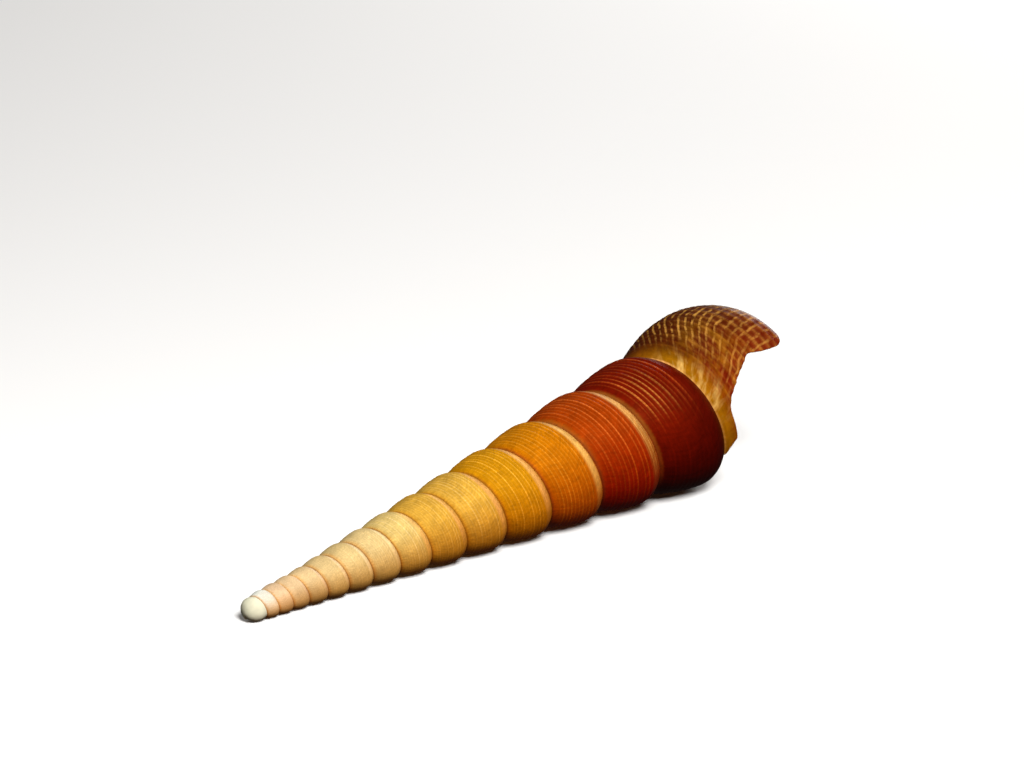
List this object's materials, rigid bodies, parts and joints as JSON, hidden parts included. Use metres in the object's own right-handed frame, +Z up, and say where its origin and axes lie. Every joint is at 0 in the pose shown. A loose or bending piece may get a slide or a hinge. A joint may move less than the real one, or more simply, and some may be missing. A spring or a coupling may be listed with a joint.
{
  "type": "auger shell",
  "caption": "Tall, slender spiral sea shell lying on its side: rounded whorls with fine spiral ribs, a worn blunt tip and an open mouth with a broken-edged outer lip.",
  "frame": {"origin": "on the surface that the shell rests on, under the middle of its bounding box", "axes": "+X from the tip to the mouth along the length, +Z up, +Y to the side away from the mouth"},
  "size_m": [0.1202, 0.031, 0.034],
  "materials": {
    "shell": "polished shell, white at the tip through yellow and orange to dark red-brown at the last whorls, with pale bands beside the sutures"
  },
  "bodies": {
    "root": {"shell": "shell"}
  },
  "joints": []
}
